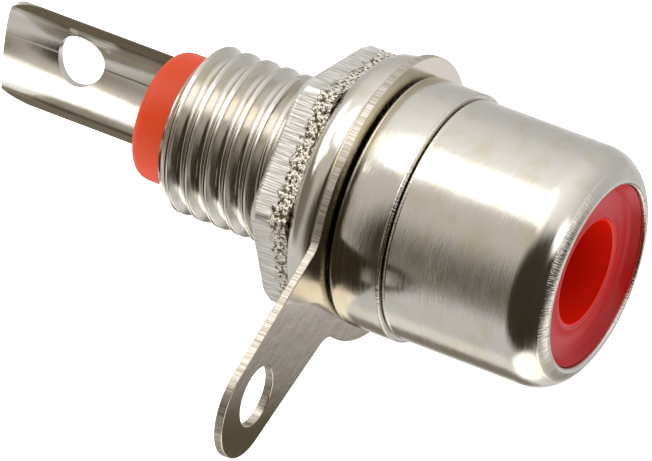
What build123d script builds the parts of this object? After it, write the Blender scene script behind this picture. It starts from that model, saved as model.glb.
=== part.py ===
from build123d import *
from math import atan2, ceil, cos, radians, sin, sqrt, tan
import os

# Panel-mount RCA (phono) socket, real size in millimetres.
# The socket axis lies along Y. The mouth faces -Y and the solder cup +Y.
# Y = 0 is the rear face of the collar, which sits against the front of a panel.
# Angles round the axis are measured from -X towards +Z.

# Driving size: the standard outer contact. The crests of the bushing's thread follow from it.
sleeve_r = 4.20
thread_r = 0.6964 * sleeve_r

# Threaded bushing
thread_length = 7.60
thread_pitch = 0.75
thread_depth = 0.467 * thread_pitch
thread_chamfer = 1.09 * thread_depth
thread_crest = 0.27 * thread_pitch
thread_phase = 0.145
relief_r = 0.845 * thread_r
relief_length = 0.75
bushing_bore_r = 0.752 * thread_r
bore_edge = 0.05 * thread_r
collar_r = 1.038 * sleeve_r
collar_length = 1.90
collar_edge = 0.07
spigot_length = 1.45

# Drawn contact sleeve, rolled in at the front
sleeve_wall = 0.38
sleeve_length = 5.89
seam_gap = 0.04
nose_r = 0.31 * sleeve_r
lip_r = 0.762 * sleeve_r
lip_edge = 0.13
spigot_r = sleeve_r - sleeve_wall
sleeve_rear_y = -(collar_length + seam_gap)
sleeve_front_y = sleeve_rear_y - sleeve_length

# Centre contact, rolled from sheet
contact_r = 0.656 * thread_r
contact_sheet = 0.30
finger_slots = 3
finger_slot_width = 0.22 * contact_r
finger_waist_r = 0.93 * contact_r
finger_lead = 0.60
finger_length = 3.40
seam_width = 0.06 * contact_r
cup_length = 7.19
cup_inset = 0.85
cup_open_angle = 17.5
cup_half_angle = 71.0
cup_hole_r = 0.47 * contact_r
cup_hole_from_end = 3.01

# Front insulator
face_inset = 0.50
hole_r = 0.958 * contact_r
hole_edge = 0.16
hole_length = 2.13
face_dish = 0.10
pocket_r = 1.125 * contact_r

# Rear insulator
rim_r = 0.776 * thread_r
rim_length = 1.28
rim_gap = 0.02
rim_round = 0.125 * thread_r

# Solder tag
tag_gap = 0.08
tag_sheet = 0.30
tag_ring_r = 1.706 * thread_r
tag_hole_r = thread_r + 0.175
tail_angle = -16.6
tail_offset = 0.229 * thread_r
tail_root_half = 0.807 * thread_r
tail_tip_half = 0.615 * thread_r
tail_length = 3.251 * thread_r
tail_hole_r = 0.359 * thread_r
tail_hole_inset = 0.164 * thread_r
tail_fillet = 0.308 * thread_r

# Flat washer
washer_gap = 0.04
washer_r = 1.627 * thread_r
washer_hole_r = thread_r + 0.135
washer_thickness = 1.19
washer_front_round = 0.075 * thread_r
washer_rear_round = 0.145 * thread_r

# Hexagon nut
nut_gap = 0.03
nut_flats = 2.735 * thread_r
nut_thickness = 1.43
nut_bore_r = thread_r + 0.05
nut_bore_edge = 0.068 * thread_r
nut_corner_angle = 17.5
nut_corner_r = 0.11 * thread_r
nut_die_roll = 0.075 * thread_r

# Places along the axis
face_y = sleeve_front_y + face_inset
pocket_y = face_y + hole_length
contact_front_y = pocket_y + 0.20
rim_front_y = thread_length + rim_gap
rim_rear_y = rim_front_y + rim_length
cup_start_y = rim_rear_y - cup_inset
cup_end_y = rim_rear_y + cup_length
tag_front_y = tag_gap
washer_front_y = tag_front_y + tag_sheet + washer_gap
nut_front_y = washer_front_y + washer_thickness + nut_gap


def around(angle, radius):
    """Return the X, Z position at an angle round the socket axis."""
    return (-radius * cos(radians(angle)), radius * sin(radians(angle)))


def on_arc(centre, radius, angle):
    """Return a point of a circle in the radius, Y plane."""
    return (centre[0] + radius * cos(radians(angle)), centre[1] + radius * sin(radians(angle)))


def turned(points):
    """Revolve a closed outline of radius, Y points round the socket axis."""
    with BuildSketch(Plane.XY) as outline:
        with BuildLine():
            Polyline(*points, close=True)
        make_face()
    return revolve(outline.sketch, Axis.Y, 360)


def make_bushing():
    """Collar, front spigot and threaded shank, bored right through."""
    collar_front = -collar_length
    spigot_front = collar_front - spigot_length
    blank = turned([
        (bushing_bore_r + bore_edge, thread_length),
        (thread_r - thread_chamfer, thread_length),
        (thread_r, thread_length - 0.7 * thread_chamfer),
        (thread_r, relief_length + thread_depth),
        (relief_r, relief_length),
        (relief_r, 0),
        (collar_r - collar_edge, 0),
        (collar_r, -collar_edge),
        (collar_r, collar_front + collar_edge),
        (collar_r - collar_edge, collar_front),
        (spigot_r, collar_front),
        (spigot_r, spigot_front + 2 * collar_edge),
        (spigot_r - 2 * collar_edge, spigot_front),
        (bushing_bore_r, spigot_front),
        (bushing_bore_r, thread_length - bore_edge),
    ])
    return (blank - make_thread_groove()).solids().sort_by(SortBy.VOLUME)[-1]


def make_thread_groove():
    """Right-hand helical groove that leaves the thread's crests, from the relief to past the rear end."""
    start = thread_phase + thread_pitch / 2
    turns = ceil((thread_length + thread_pitch - start) / thread_pitch)
    overcut = 0.1 * thread_depth
    flank = (thread_depth + overcut) * tan(radians(30))
    root_half = (thread_pitch - thread_crest) / 2 - thread_depth * tan(radians(30))
    path = Helix(thread_pitch, turns * thread_pitch, thread_r)
    outer = thread_r + overcut
    inner = thread_r - thread_depth
    section = Plane(path @ 0, x_dir=(1, 0, 0), z_dir=path % 0)
    with BuildSketch(section) as groove:
        with BuildLine():
            Polyline((outer - thread_r, root_half + flank), (inner - thread_r, root_half),
                     (inner - thread_r, -root_half), (outer - thread_r, -root_half - flank), close=True)
        make_face()
    cutter = sweep(groove.sketch, path, is_frenet=True)
    return Plane((0, start, 0), x_dir=(0, 0, -1), z_dir=(0, 1, 0)) * cutter


def make_sleeve():
    """Drawn shell whose front edge is rolled in over the insulator."""
    centre = (sleeve_r - nose_r, sleeve_front_y + nose_r)
    inner_nose = nose_r - sleeve_wall
    run = lip_r - centre[0]
    lip_front = centre[1] - sqrt(nose_r ** 2 - (run + lip_edge) ** 2)
    lip_back = centre[1] - sqrt(inner_nose ** 2 - run ** 2)
    with BuildSketch(Plane.XY) as outline:
        with BuildLine():
            Polyline((spigot_r, sleeve_rear_y), (sleeve_r - seam_gap, sleeve_rear_y),
                     (sleeve_r, sleeve_rear_y - seam_gap), (sleeve_r, centre[1]))
            ThreePointArc((sleeve_r, centre[1]), on_arc(centre, nose_r, -40), (lip_r + lip_edge, lip_front))
            Polyline((lip_r + lip_edge, lip_front), (lip_r, lip_front + lip_edge), (lip_r, lip_back),
                     on_arc(centre, inner_nose, -36), (spigot_r, centre[1]), (spigot_r, sleeve_rear_y))
        make_face()
    return revolve(outline.sketch, Axis.Y, 360)


def make_front_insulator():
    """Moulded plug inside the sleeve, with the hole for the plug's pin."""
    rear = -(collar_length + spigot_length + rim_gap)
    centre = (sleeve_r - nose_r, sleeve_front_y + nose_r)
    inner_nose = nose_r - sleeve_wall - rim_gap
    rim = lip_r - rim_gap
    rim_y = centre[1] - 0.98 * sqrt(inner_nose ** 2 - (rim - centre[0]) ** 2)
    shoulder = on_arc(centre, 0.9 * inner_nose, -36)
    dish_r = (hole_r + hole_edge + rim) / 2
    return turned([
        (pocket_r, rear),
        (spigot_r - hole_edge, rear),
        (spigot_r, rear - hole_edge),
        (spigot_r, centre[1]),
        shoulder,
        (rim, rim_y),
        (rim - hole_edge, face_y + face_dish),
        (dish_r, face_y + face_dish),
        (hole_r + hole_edge, face_y),
        (hole_r + 0.3 * hole_edge, face_y + 0.3 * hole_edge),
        (hole_r, face_y + hole_edge),
        (hole_r, pocket_y),
        (pocket_r, pocket_y),
    ])


def make_rear_insulator():
    """Moulded tube in the bushing's bore, with a rounded rim behind the thread."""
    front = -(collar_length + spigot_length)
    centre = (rim_r - rim_round, rim_rear_y - rim_round)
    return turned([
        (contact_r, rim_rear_y),
        (contact_r, front),
        (bushing_bore_r, front),
        (bushing_bore_r, rim_front_y),
        (rim_r, rim_front_y),
        (rim_r, centre[1]),
        *[on_arc(centre, rim_round, angle) for angle in (27, 54, 80)],
    ])


def make_contact():
    """Rolled tube with spring fingers at the front and a solder cup at the rear."""
    r = contact_r
    inner = contact_r - contact_sheet
    root = contact_front_y + finger_length
    waist = contact_front_y + finger_lead
    spin = Rotation(0, cup_open_angle, 0)
    tube = turned([
        (inner, cup_end_y),
        (r, cup_end_y),
        (r, root),
        (finger_waist_r, waist),
        (0.99 * r, contact_front_y),
        (0.99 * r - contact_sheet, contact_front_y),
        (finger_waist_r - contact_sheet, waist),
        (inner, root),
    ])

    # Slots divide the front into fingers. One of them runs on as the seam of the rolled sheet.
    for i in range(finger_slots):
        slot = Pos(-r, root - finger_length, 0) * Box(r, 2 * finger_length, finger_slot_width)
        tube -= Rotation(0, cup_open_angle + i * 360 / finger_slots, 0) * slot
    seam_length = cup_start_y - root + finger_lead
    seam = Pos(-r, root + seam_length / 2 - finger_lead / 2, 0) * Box(r, seam_length, seam_width)
    tube -= spin * seam

    # Behind the insulator the sheet is open on one side and forms the cup.
    edge = radians(180 - cup_half_angle)
    reach = 3 * r
    sector = [
        (0, 0),
        (-reach * cos(edge), -reach * sin(edge)),
        (-reach, -reach),
        (-reach, reach),
        (-reach * cos(edge), reach * sin(edge)),
    ]
    with BuildSketch(Plane.XZ) as opening:
        with BuildLine():
            Polyline(*sector, close=True)
        make_face()
    cut = extrude(opening.sketch, amount=-2 * (cup_end_y - cup_start_y))
    tube -= spin * Pos(0, cup_start_y, 0) * cut

    # The end of the tongue is a half circle in the flat sheet.
    mid_r = r - contact_sheet / 2
    end_r = 1.02 * mid_r * radians(cup_half_angle)
    curve = []
    for i in range(13):
        turn = radians(cup_half_angle) * (i / 6 - 1)
        drop = end_r - sqrt(end_r ** 2 - (mid_r * turn) ** 2)
        curve.append((cup_end_y - drop, r * sin(turn)))
    side = curve[0][0]
    beyond = cup_end_y + r
    with BuildSketch(Plane.YZ) as tip:
        with BuildLine():
            Spline(*curve)
            Polyline(curve[-1], (side, reach), (beyond, reach), (beyond, -reach), (side, -reach), curve[0])
        make_face()
    tube -= spin * extrude(tip.sketch, amount=2 * r)

    hole_y = cup_end_y - cup_hole_from_end
    tube -= spin * Pos(r, hole_y, 0) * Rotation(0, 90, 0) * Cylinder(cup_hole_r, 2 * r)
    return tube.solids().sort_by(SortBy.VOLUME)[-1]


def make_tag():
    """Flat ring with a tail that carries the soldering hole."""
    g = radians(tail_angle)

    def at(along, across):
        across += tail_offset
        return (across * sin(g) - along * cos(g), along * sin(g) + across * cos(g))

    # The straight sides of the tail run tangent to its round tip.
    taper = atan2(tail_root_half - tail_tip_half, tail_length)
    end = tail_length + tail_tip_half * sin(taper)
    end_half = tail_tip_half * cos(taper)
    start_half = end_half + end * sin(taper) / cos(taper)
    with BuildSketch(Plane.XZ) as outline:
        Circle(tag_ring_r)
        with BuildLine():
            Polyline(at(0, -start_half), at(end, -end_half), at(end, end_half), at(0, start_half), close=True)
        make_face()
        with Locations(at(tail_length, 0)):
            Circle(tail_tip_half)
        roots = [v for v in outline.vertices()
                 if v.X < 0 and abs(sqrt(v.X ** 2 + v.Z ** 2) - tag_ring_r) < 0.001]
        fillet(roots, tail_fillet)
        Circle(tag_hole_r, mode=Mode.SUBTRACT)
        with Locations(at(tail_length - tail_hole_inset, 0)):
            Circle(tail_hole_r, mode=Mode.SUBTRACT)
    return Pos(0, tag_front_y, 0) * extrude(outline.sketch, amount=-tag_sheet)


def make_washer():
    """Plain washer with rounded rims."""
    front = washer_front_y
    rear = front + washer_thickness
    f = washer_front_round
    b = washer_rear_round
    return turned([
        (washer_r - b, rear),
        (washer_hole_r, rear),
        (washer_hole_r, front),
        *[on_arc((washer_r - f, front + f), f, angle) for angle in (-90, -45, 0)],
        *[on_arc((washer_r - b, rear - b), b, angle) for angle in (0, 30, 60)],
    ])


def make_nut():
    """Stamped hexagon nut with rounded corners and a rolled-over rear edge."""
    corners = [around(nut_corner_angle + 60 * k, nut_flats / sqrt(3)) for k in range(6)]
    with BuildSketch(Plane.XZ) as outline:
        with BuildLine():
            Polyline(*corners, close=True)
        make_face()
    nut = extrude(outline.sketch, amount=-nut_thickness)
    nut = fillet(nut.edges().filter_by(Axis.Y), nut_corner_r)
    rear = nut.faces().sort_by(Axis.Y)[-1]
    nut = fillet(rear.edges(), nut_die_roll)
    nut -= Rotation(90, 0, 0) * Cylinder(nut_bore_r, 4 * nut_thickness)
    rims = [e for e in nut.edges().filter_by(GeomType.CIRCLE) if abs(e.radius - nut_bore_r) < 0.001]
    nut = chamfer(rims, nut_bore_edge)
    return Pos(0, nut_front_y, 0) * nut


pieces = {
    "threaded_bushing": make_bushing(),
    "contact_sleeve": make_sleeve(),
    "front_insulator": make_front_insulator(),
    "rear_insulator": make_rear_insulator(),
    "centre_contact": make_contact(),
    "hex_nut": make_nut(),
    "flat_washer": make_washer(),
    "solder_tag": make_tag(),
}

os.makedirs("parts", exist_ok=True)
for name, piece in pieces.items():
    export_step(piece, "parts/" + name + ".step")
    size = piece.bounding_box().size
    print(name, round(size.X, 2), round(size.Y, 2), round(size.Z, 2), "volume", round(piece.volume, 2))
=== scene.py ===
# %% [markdown]
# A panel-mount phono socket. The CAD frame gives every part its size and place, and this
# lesson models each part again with smooth turned surfaces, a real screw thread and the
# finish of the plated metal and moulded plastic. All lengths are in metres. The socket axis
# is the Y axis: the mouth faces -Y and the solder cup faces +Y.

import math

import bpy
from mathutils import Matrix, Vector


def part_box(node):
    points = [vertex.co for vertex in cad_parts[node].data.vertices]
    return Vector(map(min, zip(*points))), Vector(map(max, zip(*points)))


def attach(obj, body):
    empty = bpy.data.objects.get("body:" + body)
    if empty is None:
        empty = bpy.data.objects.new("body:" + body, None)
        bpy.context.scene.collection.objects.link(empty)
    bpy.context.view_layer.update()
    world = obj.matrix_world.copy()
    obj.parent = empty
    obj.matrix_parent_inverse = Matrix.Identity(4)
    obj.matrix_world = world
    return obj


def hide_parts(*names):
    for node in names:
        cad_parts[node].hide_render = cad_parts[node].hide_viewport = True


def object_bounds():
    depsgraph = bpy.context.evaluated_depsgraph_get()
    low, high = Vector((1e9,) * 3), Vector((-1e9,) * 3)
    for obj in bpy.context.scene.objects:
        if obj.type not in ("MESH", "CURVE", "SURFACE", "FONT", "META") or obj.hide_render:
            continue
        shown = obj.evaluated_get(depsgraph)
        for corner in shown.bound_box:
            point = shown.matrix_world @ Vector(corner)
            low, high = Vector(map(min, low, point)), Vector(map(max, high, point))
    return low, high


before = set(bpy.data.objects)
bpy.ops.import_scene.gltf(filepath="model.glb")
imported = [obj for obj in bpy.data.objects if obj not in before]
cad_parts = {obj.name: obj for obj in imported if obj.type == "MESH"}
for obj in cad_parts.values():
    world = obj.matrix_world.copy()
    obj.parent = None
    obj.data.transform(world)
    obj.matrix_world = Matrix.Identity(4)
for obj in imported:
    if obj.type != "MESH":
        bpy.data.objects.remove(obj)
cad_low, cad_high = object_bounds()
scene = bpy.context.scene
MM = 0.001
print("frame loaded, nodes:", ", ".join(sorted(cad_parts)))

# %% [markdown]
# The photograph was taken from a long way off compared with the size of the part, so the
# camera has a very long lens and stands about 31 cm away. Its place was found by matching
# the ellipses of the collar, the sleeve and the nut. The aim point lies close to the axis,
# a little in front of the thread's middle.

# %% The camera
photo_azimuth = math.radians(-59.760)
photo_elevation = math.radians(40.523)
camera_distance = 311.157 * MM
aim_point = Vector((-1.699, 1.622, -0.761)) * MM

back = Vector((
    math.sin(photo_azimuth) * math.cos(photo_elevation),
    -math.cos(photo_azimuth) * math.cos(photo_elevation),
    math.sin(photo_elevation),
))
camera_data = bpy.data.cameras.new("camera")
camera_data.sensor_width = 36.0
camera_data.lens = 518.47
camera_data.clip_start = 0.01
camera_data.clip_end = 10.0
camera = bpy.data.objects.new("camera", camera_data)
scene.collection.objects.link(camera)
camera.location = aim_point + back * camera_distance
camera.rotation_mode = "QUATERNION"
camera.rotation_quaternion = (-back).to_track_quat("-Z", "Y")
scene.camera = camera
print("camera stands at", [round(v, 4) for v in camera.location])

# %% [markdown]
# Colours are written as sRGB hex codes, as a paint program shows them. Shaders need linear
# light, so one function turns a code into a linear colour. One more function adds a node,
# sets its properties, fills its sockets with values or links, and gives back one output, so
# that a row of nodes reads like a row of sums.

# %% Colour and node helpers


def linear_colour(code):
    """Turn an sRGB hex code into linear red, green, blue and alpha."""
    channels = [int(code[i:i + 2], 16) / 255 for i in (1, 3, 5)]
    return [c / 12.92 if c <= 0.04045 else ((c + 0.055) / 1.055) ** 2.4 for c in channels] + [1.0]


def add_node(tree, kind, inputs=None, give=0, **settings):
    """Add a node with its settings, give each input a value or a link, and return one output."""
    node = tree.nodes.new("ShaderNode" + kind)
    for name, value in settings.items():
        setattr(node, name, value)
    for socket, value in (inputs or {}).items():
        if isinstance(value, bpy.types.NodeSocket):
            tree.links.new(value, node.inputs[socket])
        else:
            node.inputs[socket].default_value = value
    return node.outputs[give] if node.outputs else None


def direction(azimuth, elevation):
    """Return the unit vector at an azimuth (0 is -Y, 90 is +X) and an elevation."""
    a = math.radians(azimuth)
    e = math.radians(elevation)
    return (math.sin(a) * math.cos(e), -math.cos(a) * math.cos(e), math.sin(e))


print("mid grey is", [round(c, 3) for c in linear_colour("#808080")])

# %% [markdown]
# Bright metal shows its surroundings more than its own colour, so the light matters as much
# as the material. The socket was photographed on a lit white table with a large soft box
# overhead, a narrow strip light in front of the mouth, pale surroundings behind it and to
# the right, and a dark room behind the camera. Area lights could do this, but a world shader
# gives full control of what each direction reflects: it starts from a sky that depends on
# height alone, and then each patch of light or dark is mixed in round its own direction.
# Round metal shows the sky squeezed into bands along it, so even a plain sky gives it form.

# %% The sky
sky_by_elevation = [
    (-90, 1.00), (-60, 0.72), (-40, 0.75), (-27, 0.82), (-15, 0.64), (0, 0.64),
    (20, 0.76), (40, 0.97), (60, 1.15), (75, 1.30),
]
world = bpy.data.worlds.new("studio")
world.use_nodes = True
scene.world = world
sky = world.node_tree
sky.nodes.clear()
seen = add_node(sky, "TexCoord", give="Generated")
height = add_node(sky, "SeparateXYZ", {0: seen}, give="Z")
height = add_node(sky, "MapRange", {"Value": height, "From Min": -1.0})
ramp = add_node(sky, "ValToRGB", {"Fac": height})
stops = ramp.node.color_ramp.elements
while len(stops) < len(sky_by_elevation):
    stops.new(0.5)
brightest_sky = max(strength for _, strength in sky_by_elevation)
for stop, (elevation, strength) in zip(stops, sky_by_elevation):
    stop.position = (math.sin(math.radians(elevation)) + 1) / 2
    stop.color = [strength / brightest_sky] * 3 + [1.0]
light = add_node(sky, "VectorMath", {0: ramp, "Scale": brightest_sky}, operation="SCALE")
print("the sky has", len(stops), "steps of brightness")

# %% [markdown]
# A highlight on polished metal is a picture of a lamp, and a dark streak is a picture of
# something unlit. Their places in the photograph tell where each stood: the direction follows
# from the surface's normal and the view. Each patch has a soft border, as a soft box's edge has.

# %% Patches of light and dark
# Each patch: azimuth, elevation, full to, gone at (degrees), strength, colour.
studio_patches = {
    "dim side": (-90, 25, 42, 58, 0.70, "#fff9f0"),
    "dark rear": (-152, 8, 22, 36, 0.25, "#fff0d8"),
    "dark room": (-58, -1, 48, 65, 0.05, "#ffe6c0"),
    "dark corner": (6, -12, 9, 19, 0.06, "#ffe6c0"),
    "soft box": (-162, 78, 14, 21, 2.60, "#ffffff"),
    "soft box edge": (-85, 74, 6, 14, 1.90, "#ffffff"),
    "soft box behind": (172, 42, 8, 18, 2.20, "#ffffff"),
    "strip light": (-4, 27, 8, 15, 2.40, "#ffffff"),
    "strip light low": (9, 10, 3, 10, 1.80, "#ffffff"),
    "lit table": (-45, -74, 18, 24, 1.90, "#fffdf8"),
    "lit table edge": (13, -37, 9, 17, 1.70, "#fffdf8"),
    "lit table behind": (-152, -68, 4, 12, 1.00, "#fffdf8"),
    "white card": (60, -40, 7, 13, 1.15, "#f0f0ff"),
    "under the bench": (63, -57, 6, 15, 0.10, "#ffe6c0"),
    "own shadow": (142, -68, 9, 16, 0.25, "#fff0d8"),
}
for name, (azimuth, elevation, full, gone, strength, code) in studio_patches.items():
    toward = add_node(sky, "VectorMath", {0: seen, 1: direction(azimuth, elevation)}, give="Value",
                      operation="DOT_PRODUCT", label=name)
    mask = add_node(sky, "MapRange", {
        "Value": toward,
        "From Min": math.cos(math.radians(gone)),
        "From Max": math.cos(math.radians(full)),
    }, interpolation_type="SMOOTHSTEP")
    colour = [c * strength for c in linear_colour(code)[:3]] + [1.0]
    # In a colour mix, input 0 is the factor, 6 and 7 are the colours, and output 2 the result.
    light = add_node(sky, "Mix", {0: mask, 6: light, 7: colour}, give=2, data_type="RGBA")

# The camera itself sees a plain pale backdrop, as behind the part in the photograph.
straight = add_node(sky, "LightPath", give="Is Camera Ray")
light = add_node(sky, "Mix", {0: straight, 6: light, 7: [1.0] * 4}, give=2, data_type="RGBA")
add_node(sky, "OutputWorld", {"Surface": add_node(sky, "Background", {"Color": light})})
scene.view_settings.view_transform = "Standard"
print("studio has", len(studio_patches), "patches of light and dark")

# %% [markdown]
# One lamp stands so close behind the part that it lights the solder cup and the thread more
# than the collar. A world shader can't do that, since its light comes from far off, so this one
# is a real area light, 44 by 36 mm, a hand's breadth above and behind the cup.

# %% The near lamp
lamp_data = bpy.data.lights.new("near_soft_box", "AREA")
lamp_data.shape = "RECTANGLE"
lamp_data.size = 44 * MM
lamp_data.size_y = 36 * MM
lamp_data.energy = 0.009
lamp = bpy.data.objects.new("near_soft_box", lamp_data)
scene.collection.objects.link(lamp)
lamp.location = Vector((-15, 55, 46)) * MM
lamp.rotation_mode = "QUATERNION"
lamp.rotation_quaternion = (Vector((0, 9 * MM, 0)) - lamp.location).to_track_quat("-Z", "Y")
lamp.visible_camera = False
print("the near lamp is", round(lamp.location.length / MM), "mm from the socket's seat")

# %% [markdown]
# The background is pure white with no shadow, as on a light table: opal acrylic lit from
# below. The floor is a plane just under the lowest point of the part that glows white. It is
# hidden from reflections, because the world shader already holds the lit table as the metal
# should show it.

# %% The light table
floor_size = 4.0
floor_gap = 0.02 * MM
bpy.ops.object.select_all(action="DESELECT")
bpy.ops.mesh.primitive_plane_add(size=floor_size, location=(0, 0, cad_low.z - floor_gap))
floor = bpy.context.object
floor.name = "light_table"
opal = bpy.data.materials.new("opal_acrylic_lit_from_below")
opal.use_nodes = True
opal_shader = opal.node_tree.nodes["Principled BSDF"]
opal_shader.inputs["Base Color"].default_value = linear_colour("#f4f4f2")
opal_shader.inputs["Roughness"].default_value = 0.6
opal_shader.inputs["Emission Color"].default_value = linear_colour("#ffffff")
opal_shader.inputs["Emission Strength"].default_value = 1.0
floor.data.materials.append(opal)
floor.visible_glossy = False
print("floor lies at", round(floor.location.z / MM, 2), "mm")

# %% [markdown]
# Most parts of this socket were turned on a lathe or drawn in a press, so each is a closed
# outline that goes once round the axis. By hand you would place one point, extrude it from
# point to point, bevel the corners that are rounded, and spin the line. The helpers below do
# that in the same order. An outline point is (radius, y) or (radius, y, rounding).

# %% Helpers for turned parts
ROUND_STEPS = 4
TURN_STEPS = 128
MERGE = 1e-7


def work_on(piece):
    """Leave edit mode and select only this piece."""
    if bpy.context.mode != "OBJECT":
        bpy.ops.object.mode_set(mode="OBJECT")
    bpy.ops.object.select_all(action="DESELECT")
    piece.select_set(True)
    bpy.context.view_layer.objects.active = piece


def pick(piece, test, kind="VERT"):
    """Enter edit mode with only the points, edges or faces selected that pass a test."""
    work_on(piece)
    mesh = piece.data
    bpy.ops.object.mode_set(mode="EDIT")
    bpy.ops.mesh.select_mode(type=kind)
    bpy.ops.mesh.select_all(action="DESELECT")
    bpy.ops.object.mode_set(mode="OBJECT")
    if kind == "VERT":
        for point in mesh.vertices:
            point.select = test(point.co)
    elif kind == "EDGE":
        for edge in mesh.edges:
            ends = [mesh.vertices[i].co for i in edge.vertices]
            edge.select = test(*ends)
    else:
        for face in mesh.polygons:
            face.select = test(face.center, face.normal)
    bpy.ops.object.mode_set(mode="EDIT")


def draw_line(name, corners, closed=True):
    """Draw a line through corners, extruded from point to point."""
    if bpy.context.mode != "OBJECT":
        bpy.ops.object.mode_set(mode="OBJECT")
    bpy.ops.object.select_all(action="DESELECT")
    corners = [Vector(corner) for corner in corners]
    bpy.ops.mesh.primitive_plane_add(size=0.1 * MM, location=corners[0])
    piece = bpy.context.object
    piece.name = name
    piece.data.name = name
    bpy.ops.object.transform_apply(location=True, rotation=True, scale=True)
    bpy.ops.object.mode_set(mode="EDIT")
    bpy.ops.mesh.select_mode(type="VERT")
    bpy.ops.mesh.select_all(action="SELECT")
    bpy.ops.mesh.merge(type="CENTER")
    route = corners + corners[:1] if closed else corners
    for here, there in zip(route, route[1:]):
        bpy.ops.mesh.extrude_region_move(TRANSFORM_OT_translate={"value": there - here})
    bpy.ops.mesh.select_all(action="SELECT")
    bpy.ops.mesh.remove_doubles(threshold=MERGE)
    bpy.ops.object.mode_set(mode="OBJECT")
    return piece


def draw_section(name, points, closed=True):
    """Draw a cross-section of (radius, y) or (radius, y, rounding) points above the axis."""
    corners = [Vector((0, p[1], p[0])) for p in points]
    piece = draw_line(name, corners, closed)
    for point, corner in zip(points, corners):
        if len(point) > 2:
            pick(piece, lambda co, corner=corner: (co - corner).length < 1e-6)
            bpy.ops.mesh.bevel(offset=point[2], segments=ROUND_STEPS, affect="VERTICES")
    return piece


def close_up(piece):
    """Merge doubles, then point all faces outwards."""
    work_on(piece)
    bpy.ops.object.mode_set(mode="EDIT")
    bpy.ops.mesh.select_all(action="SELECT")
    bpy.ops.mesh.remove_doubles(threshold=MERGE)
    bpy.ops.mesh.normals_make_consistent(inside=False)
    bpy.ops.object.mode_set(mode="OBJECT")


def spin_round(piece, steps=TURN_STEPS):
    """Spin a line once round the Y axis."""
    work_on(piece)
    bpy.ops.object.mode_set(mode="EDIT")
    bpy.ops.mesh.select_all(action="SELECT")
    bpy.ops.mesh.spin(steps=steps, angle=2 * math.pi, center=(0, 0, 0), axis=(0, 1, 0))
    close_up(piece)


def turned(name, points, steps=TURN_STEPS):
    """Draw a closed outline and spin it into a solid of revolution."""
    piece = draw_section(name, points)
    spin_round(piece, steps)
    return piece


def arc(centre, radius, start, end, steps):
    """Return points of an arc round a (radius, y) centre; angle 0 is outwards, 90 towards +Y."""
    angles = [math.radians(start + (end - start) * i / steps) for i in range(steps + 1)]
    return [(centre[0] + radius * math.cos(a), centre[1] + radius * math.sin(a)) for a in angles]


def cut_away(piece, cutter, operation="DIFFERENCE"):
    """Cut one solid with another, then delete the cutter."""
    work_on(piece)
    step = piece.modifiers.new("cut", "BOOLEAN")
    step.operation = operation
    step.object = cutter
    step.solver = "EXACT"
    bpy.ops.object.modifier_apply(modifier="cut")
    bpy.data.objects.remove(cutter)


def smooth(piece, angle=35):
    """Shade smooth up to an angle, with the large faces setting the normals."""
    work_on(piece)
    bpy.ops.object.shade_smooth_by_angle(angle=math.radians(angle))
    step = piece.modifiers.new("flat faces", "WEIGHTED_NORMAL")
    step.keep_sharp = True
    bpy.ops.object.modifier_apply(modifier="flat faces")


def dress(piece, material, body, node):
    """Give a finished piece its material, and put it in the CAD node's place."""
    piece.data.materials.clear()
    piece.data.materials.append(material)
    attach(piece, body)
    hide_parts(node)
    size = [round(s / MM, 2) for s in piece.dimensions]
    print(piece.name, "measures", size, "mm with", len(piece.data.polygons), "faces")


print("a turned part has", TURN_STEPS, "steps round the axis")

# %% [markdown]
# Every finish on this part comes from how the piece was made: the lathe, the die or the press
# leaves marks of a known size. So the patterns below take their sizes in millimetres, on object
# coordinates. Finer marks than about 0.05 mm wouldn't show at this distance, so those are drawn
# at that size instead. The helpers make the marks, find an edge along the axis, and lay one
# relief on the next.

# %% Marks and relief


def marks(tree, sizes, detail=3.0):
    """Return noise from 0 to 1 whose marks have these real sizes in mm along X, Y and Z."""
    place = add_node(tree, "TexCoord", give="Object")
    place = add_node(tree, "Mapping", {"Vector": place, "Scale": [1 / (size * MM) for size in sizes]})
    return add_node(tree, "TexNoise", {"Vector": place, "Scale": 1.0, "Detail": detail}, give="Fac")


def edge_zone(tree, low, high, soft):
    """Return 1 between two places in mm along the axis and 0 outside, with soft ends."""
    place = add_node(tree, "SeparateXYZ", {0: add_node(tree, "TexCoord", give="Object")}, give="Y")
    above = add_node(tree, "MapRange", {
        "Value": place, "From Min": (low - soft / 2) * MM, "From Max": (low + soft / 2) * MM,
    }, interpolation_type="SMOOTHSTEP")
    below = add_node(tree, "MapRange", {
        "Value": place, "From Min": (high - soft / 2) * MM, "From Max": (high + soft / 2) * MM,
        "To Min": 1.0, "To Max": 0.0,
    }, interpolation_type="SMOOTHSTEP")
    return add_node(tree, "Math", {0: above, 1: below}, operation="MULTIPLY")


def edge_nicks(tree):
    """Return noise in short scratches that cross the edges of a turned part."""
    scratches_per_radian = 60.0
    scratch_length = 0.4 * MM
    axes = add_node(tree, "SeparateXYZ", {0: add_node(tree, "TexCoord", give="Object")}).node.outputs
    turn = add_node(tree, "Math", {0: axes["X"], 1: axes["Z"]}, operation="ARCTAN2")
    turn = add_node(tree, "Math", {0: turn, 1: scratches_per_radian}, operation="MULTIPLY")
    along = add_node(tree, "Math", {0: axes["Y"], 1: 1 / scratch_length}, operation="MULTIPLY")
    place = add_node(tree, "CombineXYZ", {0: turn, 1: along})
    return add_node(tree, "TexNoise", {"Vector": place, "Scale": 1.0, "Detail": 3.0}, give="Fac")


def lay_relief(tree, layers):
    """Return a normal bent by layers of (height from 0 to 1, real depth in mm), one on the next."""
    normal = None
    for height, depth in layers:
        inputs = {"Height": height, "Distance": depth * MM, "Strength": 1.0}
        if normal is not None:
            inputs["Normal"] = normal
        normal = add_node(tree, "Bump", inputs)
    return normal


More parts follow.
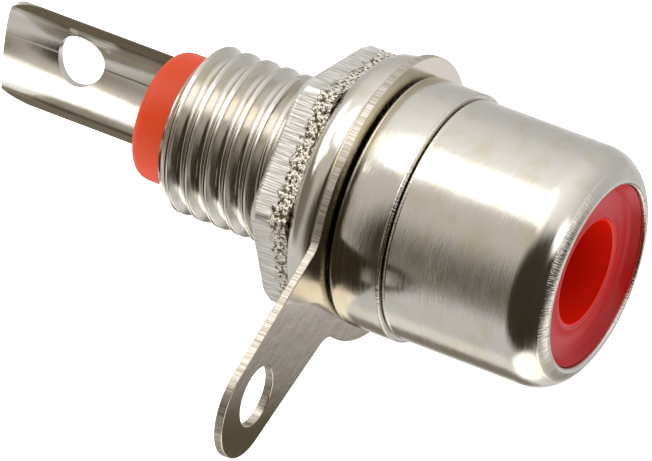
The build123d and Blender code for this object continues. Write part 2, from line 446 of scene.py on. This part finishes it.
def new_material(name, values):
    """Make a material whose shader has these plain values, and return it with its node tree."""
    material = bpy.data.materials.new(name)
    material.use_nodes = True
    for socket, value in values.items():
        material.node_tree.nodes["Principled BSDF"].inputs[socket].default_value = value
    return material, material.node_tree


def connect(tree, patterns):
    """Link each pattern to the shader's socket of that name."""
    for socket, pattern in patterns.items():
        tree.links.new(pattern, tree.nodes["Principled BSDF"].inputs[socket])


print("the finest marks drawn are 0.05 mm wide")

# %% [markdown]
# Nearly all the metal here is brass with a bright nickel plate. Nickel reflects a warm, slightly
# yellow grey, and the plate is so thin that it keeps the marks of the lathe or the die below it.
# To the eye that is a clear but slightly streaked reflection, with cloudy patches where hands and
# other parts have rubbed it, and bright chips along the edges. One recipe makes them all: the
# metal's colour with a faint stain, a fine grain that runs along the tool's path and breaks up
# the gloss, soft dents, rubbed patches, and nicks where an edge is worn.

# %% Nickel and tin plate
nickel_tone = "#d5d0c7"
nickel_stain = "#cfc7b4"
bare_edge = "#7d7260"


def plated_metal(name, grain, grain_depth, dents=0.0025, gloss=(0.12, 0.23), worn=(), cut=None):
    """Make a bright plate with a grain of these sizes in mm, dents, and worn edges along Y."""
    material, tree = new_material(name, {"Metallic": 1.0})
    fine = marks(tree, grain)
    cloud = marks(tree, (1.1, 0.9, 1.1))
    stain = add_node(tree, "MapRange", {"Value": cloud, "From Min": 0.45, "From Max": 0.75},
                     interpolation_type="SMOOTHSTEP")
    colour = add_node(tree, "Mix", {
        0: stain, 6: linear_colour(nickel_tone), 7: linear_colour(nickel_stain),
    }, give=2, data_type="RGBA")
    if cut is not None:
        # A sheet's sheared edge shows less plate. It lies beyond a plane with this normal.
        facing, cut_from, cut_full = cut
        place = add_node(tree, "TexCoord", give="Object")
        place = add_node(tree, "VectorMath", {0: place, 1: facing}, give="Value", operation="DOT_PRODUCT")
        edge = add_node(tree, "MapRange", {
            "Value": place, "From Min": cut_from * MM, "From Max": cut_full * MM,
        }, interpolation_type="SMOOTHSTEP")
        colour = add_node(tree, "Mix", {0: edge, 6: colour, 7: linear_colour(bare_edge)},
                          give=2, data_type="RGBA")
    rubbed = add_node(tree, "MapRange", {
        "Value": marks(tree, (1.6, 1.2, 1.6), 1.0), "From Min": 0.42, "From Max": 0.62,
    }, interpolation_type="SMOOTHSTEP")
    rubs = add_node(tree, "Math", {0: marks(tree, (0.28, 0.06, 0.28)), 1: rubbed}, operation="MULTIPLY")
    layers = [(fine, grain_depth), (cloud, 2.5 * dents), (rubs, dents)]
    for low, high, depth in worn:
        chips = add_node(tree, "Math", {
            0: edge_nicks(tree), 1: edge_zone(tree, low, high, 0.05),
        }, operation="MULTIPLY")
        layers.append((chips, depth))
    connect(tree, {
        "Base Color": colour,
        "Roughness": add_node(tree, "MapRange", {
            "Value": fine, "From Min": 0.3, "From Max": 0.7, "To Min": gloss[0], "To Max": gloss[1],
        }, interpolation_type="SMOOTHSTEP"),
        "Normal": lay_relief(tree, layers),
    })
    return material


# Turning lines are narrow along the axis and run far round it. Worn zones: the collar's two edges.
turned_nickel = plated_metal("nickel_plate_on_turned_brass", (3.0, 0.06, 3.0), 0.0010, 0.0035,
                             worn=((-0.12, 0.10, 0.030), (-2.10, -1.80, 0.030)))
# Drawing leaves a smoother wall. Worn zones: the sleeve's rear edge and its rolled lip.
drawn_nickel = plated_metal("nickel_plate_on_drawn_brass", (3.0, 0.05, 3.0), 0.0006, 0.0025,
                            worn=((-2.05, -1.90, 0.020), (-7.90, -7.52, 0.022)))
# Barrel polishing leaves the washer the glossiest of all.
washer_nickel = plated_metal("nickel_plate_on_polished_washer", (3.0, 0.05, 3.0), 0.0012, 0.002,
                             gloss=(0.10, 0.20))
# Sheet for the contact is tinned before it is rolled: soft gloss, grain along the axis.
cup_tin = plated_metal("tin_plate_on_rolled_sheet", (0.4, 3.0, 0.4), 0.0008, 0.003,
                       gloss=(0.16, 0.26), cut=((-0.9537, 0, 0.3007), -0.72, -0.60))
print("nickel reflects", [round(c, 2) for c in linear_colour(nickel_tone)[:3]])

# %% [markdown]
# The nut was blanked from sheet in a press. The die first shears the edge, which leaves fine
# straight lines along the axis, and then the metal tears, which leaves a rough sparkling zone
# with a ragged border. A texture image could show that, but here the border and both zones come
# from noise in real sizes, so that they run round all six sides without a seam. The eye gets a
# satin band and a band of bright points. The torn grains are really finer, and are drawn at
# 0.13 mm so that they show.

# %% Stamped nut
torn_end = 1.76
torn_border = 0.08
torn_swing = 0.90
torn_depth = 0.17
shear_depth = 0.016

stamped_nickel, tree = new_material("nickel_plate_on_stamped_nut", {"Metallic": 1.0})
place = add_node(tree, "SeparateXYZ", {0: add_node(tree, "TexCoord", give="Object")}, give="Y")
swing = add_node(tree, "Math", {0: marks(tree, (0.25, 0.25, 0.25)), 1: -torn_swing * MM},
                 operation="MULTIPLY")
place = add_node(tree, "Math", {0: place, 1: swing}, operation="ADD")
torn = add_node(tree, "MapRange", {
    "Value": place, "From Min": (torn_end - torn_border / 2) * MM,
    "From Max": (torn_end + torn_border / 2) * MM, "To Min": 1.0, "To Max": 0.0,
}, interpolation_type="SMOOTHSTEP")
sheared = add_node(tree, "Math", {0: 1.0, 1: torn}, operation="SUBTRACT")
torn_grain = marks(tree, (0.13, 0.13, 0.13), 4.0)
shear_lines = marks(tree, (0.055, 0.9, 0.055))
heights = []
for zone, pattern, depth in ((torn, torn_grain, torn_depth), (sheared, shear_lines, shear_depth)):
    height = add_node(tree, "Math", {0: pattern, 1: zone}, operation="MULTIPLY")
    heights.append(add_node(tree, "Math", {0: height, 1: depth}, operation="MULTIPLY"))
height = add_node(tree, "Math", {0: heights[0], 1: heights[1]}, operation="ADD")
tones = []
for pattern, low, high, dark, bright in (
        (shear_lines, 0.35, 0.65, "#c6c1b6", "#f6f3ee"),
        (torn_grain, 0.38, 0.56, "#5c4d30", "#fff6e6")):
    share = add_node(tree, "MapRange", {"Value": pattern, "From Min": low, "From Max": high},
                     interpolation_type="SMOOTHSTEP")
    tones.append(add_node(tree, "Mix", {0: share, 6: linear_colour(dark), 7: linear_colour(bright)},
                          give=2, data_type="RGBA"))
connect(tree, {
    "Base Color": add_node(tree, "Mix", {0: torn, 6: tones[0], 7: tones[1]}, give=2, data_type="RGBA"),
    "Roughness": add_node(tree, "MapRange", {"Value": torn, "To Min": 0.45, "To Max": 0.14},
                          interpolation_type="SMOOTHSTEP"),
    "Normal": lay_relief(tree, [(height, 1.0)]),
})
print("the nut's torn zone ends on average at", round(torn_end + torn_swing / 2, 2), "mm")

# %% [markdown]
# The solder tag was blanked from thin nickel-plated sheet. Its faces stay smooth and show blurred
# surroundings, with a slight bow from the press that makes them darker towards the tip. Its cut
# edge is matt with fine lines across the sheet. The bow is a relief in the material: the real one
# is too slight to model, and a flat mesh keeps the tag inside its joint's clearance.

# %% Blanked tag
tag_nickel, tree = new_material("nickel_plate_on_blanked_sheet", {"Metallic": 1.0})
tail_direction = (-0.594, 0, -0.804)
bow_start = 3.6
bow_end = 9.4
bow_depth = 0.76
blanked = edge_zone(tree, 0.10, 0.36, 0.02)
blank_lines = marks(tree, (0.05, 2.0, 0.05), 2.0)
place = add_node(tree, "TexCoord", give="Object")
place = add_node(tree, "VectorMath", {0: place, 1: tail_direction}, give="Value", operation="DOT_PRODUCT")
place = add_node(tree, "MapRange", {"Value": place, "From Min": bow_start * MM, "From Max": bow_end * MM})
tail_bow = add_node(tree, "Math", {0: place, 1: 1.1}, operation="POWER")
tip_bow = add_node(tree, "Math", {0: place, 1: 6.0}, operation="POWER")
tip_bow = add_node(tree, "Math", {0: tip_bow, 1: 0.57}, operation="MULTIPLY")
bow = add_node(tree, "Math", {0: tail_bow, 1: tip_bow}, operation="ADD")
bow = add_node(tree, "Math", {0: 1.0, 1: bow}, operation="SUBTRACT")
cut_lines = add_node(tree, "Math", {0: blank_lines, 1: blanked}, operation="MULTIPLY")
share = add_node(tree, "MapRange", {"Value": blank_lines, "From Min": 0.35, "From Max": 0.65},
                 interpolation_type="SMOOTHSTEP")
cut_tone = add_node(tree, "Mix", {0: share, 6: linear_colour("#a2988a"), 7: linear_colour("#d8cec2")},
                    give=2, data_type="RGBA")
connect(tree, {
    "Base Color": add_node(tree, "Mix", {0: blanked, 6: linear_colour("#d2c8b0"), 7: cut_tone},
                           give=2, data_type="RGBA"),
    "Roughness": add_node(tree, "MapRange", {"Value": blanked, "To Min": 0.17, "To Max": 0.42},
                          interpolation_type="SMOOTHSTEP"),
    "Normal": lay_relief(tree, [(bow, bow_depth), (marks(tree, (0.5, 0.5, 0.5)), 0.006), (cut_lines, 0.01)]),
})
print("the tag bows from", bow_start, "to", bow_end, "mm along its tail")

# %% [markdown]
# Both insulators are moulded, probably from polyamide or ABS in two batches of red. The front
# one is a cool red, the rear one an orange red. Moulded plastic has a soft gloss and a faint
# orange-peel relief that breaks up its highlights. Light that enters the bore comes back several
# times off the red wall, so the bore looks warmer and more saturated. That bounce light is painted
# into the bore's colour as a lighter, more saturated red.

# %% Moulded plastic
pin_hole_r = 1.838
bounce_light_border = 0.05


def moulded_plastic(name, code, roughness, bore_bounce_light_code=None):
    """Make a moulded plastic with a faint orange-peel relief, and painted bounce light that makes the pin
    hole a lighter red.
    """
    material, tree = new_material(name, {
        "Base Color": linear_colour(code), "Roughness": roughness, "Specular IOR Level": 0.3,
    })
    # Painted bounce light: inside the pin hole the red is lighter and more saturated, standing in for light
    # bounced off its wall.
    if bore_bounce_light_code is not None:
        place = add_node(tree, "TexCoord", give="Object")
        flat = add_node(tree, "VectorMath", {0: place, 1: (1, 0, 1)}, operation="MULTIPLY")
        reach = add_node(tree, "VectorMath", {0: flat}, give="Value", operation="LENGTH")
        bore = add_node(tree, "MapRange", {
            "Value": reach, "From Min": pin_hole_r * MM, "From Max": (pin_hole_r + bounce_light_border) * MM,
            "To Min": 1.0, "To Max": 0.0,
        }, interpolation_type="SMOOTHSTEP")
        connect(tree, {"Base Color": add_node(tree, "Mix", {
            0: bore, 6: linear_colour(code), 7: linear_colour(bore_bounce_light_code),
        }, give=2, data_type="RGBA")})
    connect(tree, {"Normal": lay_relief(tree, [(marks(tree, (0.3, 0.3, 0.3)), 0.004)])})
    return material


# The second red is painted bounce light in the front insulator's pin hole.
front_red = moulded_plastic("red_moulded_plastic_front", "#a80c10", 0.36, "#e8200a")
rear_red = moulded_plastic("red_moulded_plastic_rear", "#d44214", 0.42)
print("two reds, front and rear")

# %% [markdown]
# The bushing is one turned piece: a collar that seats on the panel, a spigot that the sleeve is
# pressed on, a relief neck and a threaded shank. Sizes that the frame holds are read from it. The
# others are the maker's dimensions in millimetres.

# %% Bushing sizes
bushing_low, bushing_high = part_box("threaded_bushing")
thread_r = 2.925 * MM
thread_length = bushing_high.y
thread_chamfer = 0.3818 * MM
relief_r = 2.47 * MM
relief_length = 0.75 * MM
bore_r = 2.20 * MM
bore_edge = 0.146 * MM
collar_r = bushing_high.x
collar_front = -1.90 * MM
collar_edge = 0.07 * MM
collar_round = 0.14 * MM
spigot_r = 3.82 * MM
spigot_front = bushing_low.y
print("thread runs to", round(thread_length / MM, 2), "mm, collar radius", round(collar_r / MM, 3), "mm")

# %% [markdown]
# A screw thread is a helix, and rings would not run into each other at the chamfer as the real
# one does. One pitch of the thread's section is drawn and a Screw modifier winds it round the
# axis. The crest has a fine crease, because rolling pushes the metal up from both flanks. Each
# crest catches the light as two thin lines with the crease between them.

# %% Thread
pitch = 0.75 * MM
thread_depth = 0.35 * MM
thread_root_r = thread_r - thread_depth
crest = 0.15 * MM
crease = 0.03 * MM
root_round = 0.092 * MM
crest_round = 0.025 * MM
flank = thread_depth * math.tan(math.radians(30))
thread_turns = 12
thread_steps = 96
thread_crest_y = 0.52 * MM
root_half = (pitch - crest - 2 * flank) / 2

first = thread_crest_y - pitch / 2 - pitch
thread = draw_section("bushing", [
    (thread_root_r, first),
    (thread_root_r, first + root_half, root_round),
    (thread_r, first + root_half + flank, crest_round),
    (thread_r - crease, first + pitch / 2, crease),
    (thread_r, first + pitch / 2 + crest / 2, crest_round),
    (thread_root_r, first + pitch - root_half, root_round),
    (thread_root_r, first + pitch),
], closed=False)
work_on(thread)
turns = thread.modifiers.new("turns", "SCREW")
turns.axis = "Y"
turns.screw_offset = pitch
turns.iterations = thread_turns
turns.steps = thread_steps
turns.render_steps = thread_steps
turns.use_merge_vertices = True
turns.merge_threshold = MERGE
bpy.ops.object.modifier_apply(modifier="turns")
close_up(thread)

print("the thread winds", thread_turns, "turns at", round(pitch / MM, 2), "mm a turn")

# %% [markdown]
# At both ends the crests run out: at the rear along a chamfer that helps the nut start, and at
# the front into the relief neck where the tool left the work. A boolean with a cone would leave
# slivers, and no operator draws points in to a cone. So the points that stand beyond the chamfer
# or the neck are moved in to it here, and then two bisects trim the ends square.

# %% Thread ends
chamfer_length = 0.7 * thread_chamfer
seam_rear = 0.90 * relief_length
seam_front = 0.80 * relief_length
for point in thread.data.vertices:
    radius = math.hypot(point.co.x, point.co.z)
    behind = max(0.0, point.co.y - (thread_length - chamfer_length)) * thread_chamfer / chamfer_length
    before = max(0.0, relief_length + thread_depth - point.co.y) * (thread_r - relief_r) / thread_depth
    limit = max(thread_r - max(behind, before), relief_r)
    if radius > limit:
        point.co.x *= limit / radius
        point.co.z *= limit / radius
work_on(thread)
bpy.ops.object.mode_set(mode="EDIT")
for place, outward in ((thread_length, 1), (seam_rear, -1)):
    bpy.ops.mesh.select_all(action="SELECT")
    bpy.ops.mesh.bisect(plane_co=(0, place, 0), plane_no=(0, outward, 0), clear_outer=True, threshold=1e-9)
bpy.ops.object.mode_set(mode="OBJECT")
print("thread has", len(thread.data.polygons), "faces")

# %% [markdown]
# The rest of the bushing is a plain turned outline. It could be joined to the thread with a
# boolean, but that leaves slivers along a helix. Bridging the open rims of both gives one clean,
# closed skin, so the shank and the collar are one piece of metal.

# %% Bushing body
body = draw_section("bushing_body", [
    (bore_r + bore_edge, thread_length),
    (bore_r, thread_length - bore_edge),
    (bore_r, spigot_front),
    (spigot_r, spigot_front, collar_round),
    (spigot_r, collar_front),
    (collar_r, collar_front, collar_edge),
    (collar_r, 0, collar_round),
    (relief_r, 0),
    (relief_r, seam_front),
], closed=False)
spin_round(body, thread_steps)
work_on(body)
thread.select_set(True)
bpy.context.view_layer.objects.active = thread
bpy.ops.object.join()
for side in (1, -1):
    pick(thread, lambda co, side=side: side * (co.y - thread_length / 2) < 0)
    bpy.ops.mesh.hide()
    bpy.ops.mesh.select_mode(type="EDGE")
    bpy.ops.mesh.select_non_manifold(
        use_wire=False, use_multi_face=False, use_non_contiguous=False, use_verts=False)
    bpy.ops.mesh.bridge_edge_loops()
    bpy.ops.mesh.reveal(select=False)
close_up(thread)
smooth(thread, 40)
dress(thread, turned_nickel, "socket", "threaded_bushing")

# %% [markdown]
# The sleeve is the outer contact: a cup drawn from brass sheet, with its front edge rolled in
# over the insulator. Drawing thins the wall and leaves a large smooth radius at the nose. The
# outline follows the outer wall, goes round the lip, and comes back 0.38 mm inside.

# %% Sleeve
sleeve_low, sleeve_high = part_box("contact_sleeve")
sleeve_r = sleeve_high.x
sleeve_wall = 0.38 * MM
sleeve_edge = 0.04 * MM
sleeve_rear = sleeve_high.y
nose_r = 1.302 * MM
nose_centre = (sleeve_r - nose_r, -6.528 * MM)
inner_nose = nose_r - sleeve_wall
lip_r = 3.20 * MM
lip_edge = 0.13 * MM
lip_turn = math.degrees(math.acos((lip_r + lip_edge - nose_centre[0]) / nose_r))
inner_turn = math.degrees(math.acos((lip_r - nose_centre[0]) / inner_nose))
lip_front = nose_centre[1] - nose_r * math.sin(math.radians(lip_turn))
sleeve = turned("sleeve_shell", [
    (spigot_r, sleeve_rear),
    (sleeve_r, sleeve_rear, sleeve_edge),
    *arc(nose_centre, nose_r, 0, -lip_turn, 14),
    (lip_r, lip_front + 0.02 * MM, 0.08 * MM),
    *reversed(arc(nose_centre, inner_nose, 0, -inner_turn, 8)),
])
smooth(sleeve)
dress(sleeve, drawn_nickel, "socket", "contact_sleeve")

# %% [markdown]
# The front insulator fills the sleeve and guides the plug's pin. Its face is slightly dished
# and rises to the sleeve's lip at the rim, and a small rounding leads the pin into the bore.
# The bore widens behind the face, where the contact's fingers need room to spread.

# %% Front insulator
face_y = -7.33 * MM
hole_r = pin_hole_r * MM
dish_r = 2.95 * MM
dish_depth = 0.08 * MM
dish_round = 0.16 * MM
rim_rise = 0.26 * MM
pocket_y = -5.20 * MM
pocket_r = 2.16 * MM
plug_gap = 0.02 * MM
front_rear = spigot_front - plug_gap
rim_turn = math.degrees(math.acos((lip_r - plug_gap - nose_centre[0]) / (inner_nose - plug_gap)))
front_insulator = turned("front_plug", [
    (pocket_r, front_rear),
    (spigot_r, front_rear, dish_round),
    *arc(nose_centre, inner_nose - plug_gap, 0, -rim_turn, 8),
    (lip_r - plug_gap, face_y - rim_rise),
    (dish_r, face_y + dish_depth, dish_round),
    (hole_r + 0.36 * MM, face_y + dish_depth, dish_round),
    (hole_r + 0.12 * MM, face_y, 0.10 * MM),
    (hole_r, face_y + 0.06 * MM, 0.06 * MM),
    (hole_r, pocket_y),
    (pocket_r, pocket_y),
])
smooth(front_insulator)
dress(front_insulator, front_red, "socket", "front_insulator")

# %% [markdown]
# The rear insulator is a tube pressed into the bushing's bore. It shows as a rounded rim behind
# the thread and keeps the solder cup away from the metal.

# %% Rear insulator
rear_low, rear_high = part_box("rear_insulator")
rim_r = 2.27 * MM
rim_front = thread_length + plug_gap
contact_r = 1.919 * MM
rear_insulator = turned("rear_tube", [
    (contact_r, rear_high.y, 0.05 * MM),
    (contact_r, rear_low.y),
    (bore_r, rear_low.y),
    (bore_r, rim_front),
    (rim_r, rim_front),
    (rim_r, rear_high.y, 0.366 * MM),
])
smooth(rear_insulator)
dress(rear_insulator, rear_red, "socket", "rear_insulator")

# %% [markdown]
# The washer was punched and then barrel-polished, so its edges are round, the rear one much
# more than the front one. Both roundings are bevels of the outline's corners, which is what makes
# the narrow highlights that run round it.

# %% Flat washer
washer_low, washer_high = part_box("flat_washer")
washer_r = washer_high.x
washer_hole_r = 3.06 * MM
washer_front_round = 0.20 * MM
washer_rear_round = 0.64 * MM
washer = turned("plain_washer", [
    (washer_hole_r, washer_low.y),
    (washer_r, washer_low.y, washer_front_round),
    (washer_r, washer_high.y, washer_rear_round),
    (washer_hole_r, washer_high.y),
])
smooth(washer)
dress(washer, washer_nickel, "washer", "flat_washer")

# %% [markdown]
# The nut was stamped from thick sheet and is 8 mm across its flats. It starts as a six-sided
# cylinder, turned so that its corners stand as in the photograph. The upright edges get a small
# bevel, and the rear face gets the soft edge that the press leaves where the punch goes in.

# %% Hexagon nut
nut_low, nut_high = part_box("hex_nut")
nut_thickness = nut_high.y - nut_low.y
nut_flats = 8.00 * MM
nut_corner_angle = 17.5
nut_corner_bevel = 0.32 * MM * math.tan(math.radians(30))
nut_die_roll = 0.22 * MM
nut_bore_r = 2.975 * MM
nut_bore_mouth_r = nut_bore_r + 0.30 * MM
nut_bore_mouth = 0.20 * MM
turned_low_r = 4.66 * MM
turned_high_r = 4.26 * MM
turned_length = 0.42 * MM
bpy.ops.object.select_all(action="DESELECT")
bpy.ops.mesh.primitive_cylinder_add(
    vertices=6, radius=nut_flats / math.sqrt(3), depth=nut_thickness,
    location=(0, (nut_low.y + nut_high.y) / 2, 0),
    rotation=(math.radians(90), math.radians(nut_corner_angle - 30), 0))
nut = bpy.context.object
nut.name = "hexagon_nut"
bpy.ops.object.transform_apply(location=True, rotation=True, scale=True)
pick(nut, lambda a, b: abs(a.y - b.y) > nut_thickness / 2, "EDGE")
bpy.ops.mesh.bevel(offset=nut_corner_bevel, segments=6)
pick(nut, lambda centre, normal: normal.y > 0.9, "FACE")
bpy.ops.mesh.bevel(offset=nut_die_roll, segments=5)
work_on(nut)
print("the nut blank has", len(nut.data.polygons), "faces")

# %% [markdown]
# A turned cutter takes the bore out. The bore is plain and stands in for the nut's thread, which
# the shank hides. A real nut's corners are also turned down at the rear, which gives the curved
# border on each of its six sides: that is what remains inside a second turned solid.

# %% Nut bore and turned corners
nut_bore = turned("nut_bore", [
    (0.5 * MM, nut_low.y - 0.1 * MM),
    (nut_bore_mouth_r, nut_low.y - 0.1 * MM),
    (nut_bore_r, nut_low.y + nut_bore_mouth),
    (nut_bore_r, nut_high.y - nut_bore_mouth),
    (nut_bore_mouth_r, nut_high.y + 0.1 * MM),
    (0.5 * MM, nut_high.y + 0.1 * MM),
])
cut_away(nut, nut_bore)
corner_turning = turned("corner_turning", [
    (2.0 * MM, nut_low.y - 1 * MM),
    (6.0 * MM, nut_low.y - 1 * MM),
    (6.0 * MM, nut_high.y - 0.55 * MM),
    (turned_low_r, nut_high.y - turned_length, 0.25 * MM),
    (turned_high_r, nut_high.y + 0.01 * MM),
    (2.0 * MM, nut_high.y + 0.01 * MM),
])
cut_away(nut, corner_turning, "INTERSECT")
smooth(nut)
dress(nut, stamped_nickel, "nut", "hex_nut")

# %% [markdown]
# The solder tag is a flat blank: a ring that the bushing goes through, and a tail with a hole for
# the earth wire. A flat part is easiest to think of along and across its tail, so one helper
# turns such a pair of lengths into a place in the frame, at the angle at which the tag hangs.

# %% Tag sizes
tag_low, tag_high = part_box("solder_tag")
ring_r = tag_high.x
tag_hole_r = 3.10 * MM
tail_angle = math.radians(-16.6)
tail_offset = 0.67 * MM
root_half = 2.36 * MM
tip_half = 1.80 * MM
tail_length = (tail_offset * math.sin(tail_angle) - tag_low.x - tip_half) / math.cos(tail_angle)
tail_hole_r = 1.05 * MM
tail_hole_along = 9.03 * MM
tail_fillet = 0.90 * MM


def on_tag(along, across, y=tag_low.y):
    """Return the place of a point that lies along and across the tail's direction."""
    x = across * math.sin(tail_angle) - along * math.cos(tail_angle)
    z = along * math.sin(tail_angle) + across * math.cos(tail_angle)
    return Vector((x, y, z))


print("the tail is", round(tail_length / MM, 2), "mm long to its tip's centre")

# %% [markdown]
# The tail tapers to a round tip and joins the ring with two fillets. Each fillet touches the
# ring from outside and the tail's straight side, so its centre lies where the two offset lines
# cross. That is found once for each side, and the outline is then four arcs in a row.

# %% Tag outline


def tail_side(side):
    """Return the fillet's centre and the tail's taper for the side at +1 or -1."""
    taper = math.atan2(root_half - tip_half, tail_length)
    outward = (math.sin(taper), side * math.cos(taper))
    tip = (tail_length + tip_half * outward[0], tail_offset + tip_half * outward[1])
    reach = tip[0] * outward[0] + tip[1] * outward[1] + tail_fillet
    run = math.sqrt((ring_r + tail_fillet) ** 2 - reach ** 2)
    centre = (outward[0] * reach + math.cos(taper) * run,
              outward[1] * reach - side * math.sin(taper) * run)
    return centre, math.degrees(taper)


upper, taper = tail_side(1)
lower, taper = tail_side(-1)
upper_turn = math.degrees(math.atan2(upper[1], upper[0]))
lower_turn = math.degrees(math.atan2(lower[1], lower[0]))
outline = [
    *arc((0, 0), ring_r, upper_turn, 360 + lower_turn, 72),
    *arc(lower, tail_fillet, 180 + lower_turn, 90 - taper, 6)[1:],
    *arc((tail_length, tail_offset), tip_half, taper - 90, 90 - taper, 24),
    *arc(upper, tail_fillet, taper - 90, upper_turn - 180, 6)[:-1],
]
print("the tag's outline has", len(outline), "points")

# %% [markdown]
# By hand you would draw the outline, add a circle for each hole, fill between them, and extrude
# the sheet's thickness. A boolean would do for the holes too, but filling keeps the flat faces
# flat. The edges get a fine bevel, since a punched edge is never quite sharp.

# %% Tag sheet
tag = draw_line("earth_tag", [on_tag(along, across) for along, across in outline])
for name, place, radius, count in (
        ("ring_hole", on_tag(0, 0), tag_hole_r, 64),
        ("tail_hole", on_tag(tail_hole_along, tail_offset), tail_hole_r, 40)):
    bpy.ops.object.select_all(action="DESELECT")
    bpy.ops.mesh.primitive_circle_add(
        vertices=count, radius=radius, location=place, rotation=(math.radians(90), 0, 0))
    bpy.context.object.name = name
    tag.select_set(True)
    bpy.context.view_layer.objects.active = tag
    bpy.ops.object.join()
bpy.ops.object.mode_set(mode="EDIT")
bpy.ops.mesh.select_all(action="SELECT")
bpy.ops.mesh.fill(use_beauty=True)
bpy.ops.mesh.select_all(action="SELECT")
bpy.ops.mesh.extrude_region_move(TRANSFORM_OT_translate={"value": (0, tag_high.y - tag_low.y, 0)})
close_up(tag)
pick(tag, lambda a, b: False, "EDGE")
bpy.ops.mesh.edges_select_sharp(sharpness=math.radians(60))
bpy.ops.mesh.bevel(offset=0.03 * MM, segments=2)
smooth(tag, 20)
dress(tag, tag_nickel, "tag", "solder_tag")

# %% [markdown]
# The centre contact is rolled from sheet. In front it is a tube whose fingers narrow to a waist
# and grip the plug's pin. Behind, it opens into a solder cup. It could be bent from a flat
# sheet, but starting from a turned tube and cutting the openings out of it keeps the wall even.
# It is made upright, and turned to the angle at which it sits only at the end.

# %% Contact tube
contact_low, contact_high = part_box("centre_contact")
contact_sheet = 0.30 * MM
contact_inner = contact_r - contact_sheet
contact_front = -5.00 * MM
finger_length = 3.40 * MM
finger_lead = 0.60 * MM
finger_slots = 3
finger_bend = 0.5 * MM
waist_bend = 0.25 * MM
slot_width = 0.422 * MM
waist_r = 1.785 * MM
seam_width = 0.115 * MM
cup_start = 8.05 * MM
cup_end = contact_high.y
cup_open_angle = 17.5
cup_half_angle = 71.0
cup_hole_r = 0.902 * MM
cup_hole_y = cup_end - 3.01 * MM
finger_root = contact_front + finger_length
waist_y = contact_front + finger_lead

contact = turned("rolled_contact", [
    (contact_inner, cup_end),
    (contact_r, cup_end),
    (contact_r, cup_start),
    (contact_r, finger_root, finger_bend),
    (waist_r, waist_y, waist_bend),
    (0.99 * contact_r, contact_front),
    (0.99 * contact_r - contact_sheet, contact_front),
    (waist_r - contact_sheet, waist_y, waist_bend),
    (contact_inner, finger_root, finger_bend),
    (contact_inner, cup_start),
], steps=192)
print("the contact is a tube of", len(contact.data.polygons), "faces")

# %% [markdown]
# Three slots part the front into fingers, and a narrow seam runs along the tube where the rolled
# sheet's two edges meet. Each slot is a long thin block taken away from one side of the axis. The
# block is turned in place for the next slot, so that all three are alike.

# %% Slots and seam
for number in range(finger_slots):
    bpy.ops.object.select_all(action="DESELECT")
    bpy.ops.mesh.primitive_cube_add(size=1, location=(-contact_r, finger_root - finger_length, 0),
                                    scale=(contact_r, 2 * finger_length, slot_width))
    slot_cutter = bpy.context.object
    bpy.ops.object.transform_apply(location=True, rotation=True, scale=True)
    slot_cutter.rotation_euler.y = math.radians(360 * number / finger_slots)
    bpy.ops.object.transform_apply(location=True, rotation=True, scale=True)
    cut_away(contact, slot_cutter)
bpy.ops.object.select_all(action="DESELECT")
bpy.ops.mesh.primitive_cube_add(size=1, location=(-contact_r, (cup_start + finger_root) / 2, 0),
                                scale=(contact_r, cup_start - finger_root + 0.6 * MM, seam_width))
cut_away(contact, bpy.context.object)

print("the contact has", finger_slots, "slots and a seam of", round(seam_width / MM, 2), "mm")

# %% [markdown]
# Behind the insulator the tube is open over more than half its round, which makes a trough that
# holds the wire and the solder. The opening is a wedge with its edge on the axis. The tip is
# rounded as it was on the flat sheet before rolling, so the same arc is wrapped round the tube
# here. A hole near the tip lets the wire be hooked in.

# %% Solder cup


def prism(name, corners, along):
    """Fill a flat outline and extrude it into a solid."""
    piece = draw_line(name, corners)
    bpy.ops.object.mode_set(mode="EDIT")
    bpy.ops.mesh.select_all(action="SELECT")
    bpy.ops.mesh.edge_face_add()
    bpy.ops.mesh.extrude_region_move(TRANSFORM_OT_translate={"value": along})
    close_up(piece)
    return piece


edge = math.radians(180 - cup_half_angle)
reach = 3 * contact_r
opening = prism("opening", [
    (0, cup_start, 0),
    (-reach * math.cos(edge), cup_start, -reach * math.sin(edge)),
    (-reach, cup_start, -reach),
    (-reach, cup_start, reach),
    (-reach * math.cos(edge), cup_start, reach * math.sin(edge)),
], (0, 2 * (cup_end - cup_start), 0))
cut_away(contact, opening)

middle_r = contact_r - contact_sheet / 2
flat_half = middle_r * math.radians(cup_half_angle)
end_r = 1.02 * flat_half
tip_curve = []
for number in range(25):
    turn = math.radians(cup_half_angle) * (number / 12 - 1)
    drop = end_r - math.sqrt(end_r ** 2 - (middle_r * turn) ** 2)
    tip_curve.append((0, cup_end - drop, contact_r * math.sin(turn)))
tip_cutter = prism("tip", [
    *tip_curve,
    (0, tip_curve[-1][1], reach),
    (0, cup_end + contact_r, reach),
    (0, cup_end + contact_r, -reach),
    (0, tip_curve[0][1], -reach),
], (2 * contact_r, 0, 0))
cut_away(contact, tip_cutter)
bpy.ops.object.select_all(action="DESELECT")
bpy.ops.mesh.primitive_cylinder_add(vertices=64, radius=cup_hole_r, depth=2 * contact_r,
                                    location=(contact_r, cup_hole_y, 0), rotation=(0, math.radians(90), 0))
cut_away(contact, bpy.context.object)
print("the cup's hole is", round(2 * cup_hole_r / MM, 2), "mm wide")

# %% [markdown]
# Last, the contact is turned to the angle at which the photograph shows it. Tin plating and
# rolling leave the sheet's edges round, which gives the cup its bright outline, so a Bevel
# modifier rounds every edge that is sharper than 50 degrees.

# %% The contact turned and softened
work_on(contact)
contact.rotation_euler.y = math.radians(cup_open_angle)
bpy.ops.object.transform_apply(location=True, rotation=True, scale=True)
soft_edges = contact.modifiers.new("soft edges", "BEVEL")
soft_edges.width = 0.11 * MM
soft_edges.segments = 4
soft_edges.limit_method = "ANGLE"
soft_edges.angle_limit = math.radians(50)
bpy.ops.object.modifier_apply(modifier="soft edges")
smooth(contact, 40)
dress(contact, cup_tin, "socket", "centre_contact")
